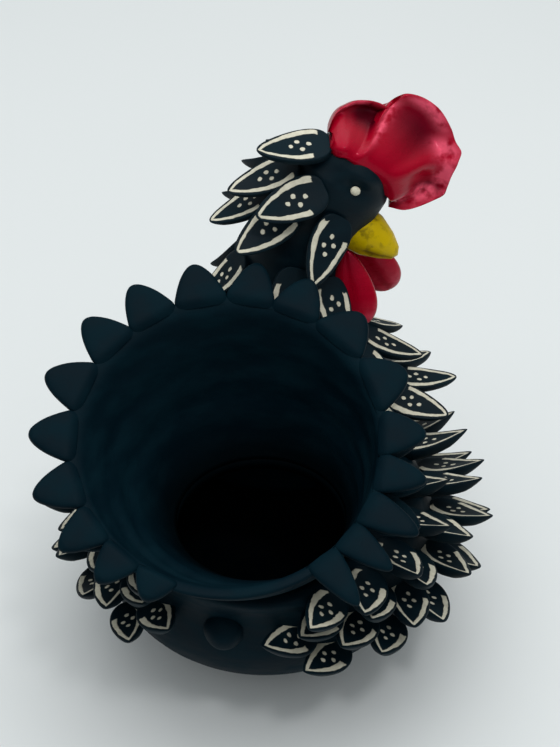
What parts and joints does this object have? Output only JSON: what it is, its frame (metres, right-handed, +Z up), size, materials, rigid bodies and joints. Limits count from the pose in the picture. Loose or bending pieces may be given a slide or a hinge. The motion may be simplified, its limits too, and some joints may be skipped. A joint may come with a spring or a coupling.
{
  "type": "hollow ceramic hen pot",
  "caption": "Squat clay pot shaped as a hen: open funnel tail ringed with plain leaves, turned head with cupped comb, beak and wattles, and rows of leaf feathers.",
  "frame": {"origin": "centre of the flat foot, on the surface that it stands on", "axes": "+Z up; the hen's breast faces +Y, its open tail leans towards -Y, and its head is turned to look towards +X"},
  "size_m": [0.169, 0.1704, 0.1931],
  "materials": {
    "black_clay": "matte",
    "red_glaze": "gloss",
    "yellow_glaze": "satin",
    "cream_slip": "matte"
  },
  "bodies": {
    "root": {"pot_body": "black_clay", "tail_collar": "black_clay", "neck_and_head": "black_clay", "tail_petal_01": "black_clay", "tail_petal_02": "black_clay", "tail_petal_03": "black_clay", "tail_petal_04": "black_clay", "tail_petal_05": "black_clay", "tail_petal_06": "black_clay", "tail_petal_07": "black_clay", "tail_petal_08": "black_clay", "tail_petal_09": "black_clay", "tail_petal_10": "black_clay", "tail_petal_11": "black_clay", "tail_petal_12": "black_clay", "tail_petal_13": "black_clay", "tail_petal_14": "black_clay", "tail_petal_15": "black_clay", "tail_petal_16": "black_clay", "tail_petal_17": "black_clay", "tail_petal_18": "black_clay", "under_leaf_1": "black_clay", "under_leaf_2": "black_clay", "under_leaf_3": "black_clay", "under_leaf_4": "black_clay", "under_leaf_5": "black_clay", "neck_feather_01": "black_clay", "neck_feather_02": "black_clay", "neck_feather_03": "black_clay", "neck_feather_04": "black_clay", "neck_feather_05": "black_clay", "neck_feather_06": "black_clay", "neck_feather_07": "black_clay", "neck_feather_08": "black_clay", "neck_feather_09": "black_clay", "neck_feather_10": "black_clay", "neck_feather_11": "black_clay", "neck_feather_12": "black_clay", "neck_feather_13": "black_clay", "neck_feather_14": "black_clay", "neck_feather_15": "black_clay", "neck_feather_16": "black_clay", "neck_feather_17": "black_clay", "neck_ruff_low": "black_clay", "neck_ruff_high": "black_clay", "feather_row_lower_right": "black_clay", "feather_row_lower_left": "black_clay", "feather_row_middle_right": "black_clay", "feather_row_middle_left": "black_clay", "feather_row_upper_right": "black_clay", "feather_row_upper_left": "black_clay", "feather_row_top_right": "black_clay", "feather_row_top_left": "black_clay", "comb": "red_glaze", "beak": "yellow_glaze", "wattle_near": "red_glaze", "wattle_far": "red_glaze", "eye_dot_near": "cream_slip", "eye_dot_far": "cream_slip", "tail_knob": "black_clay"}
  },
  "joints": []
}
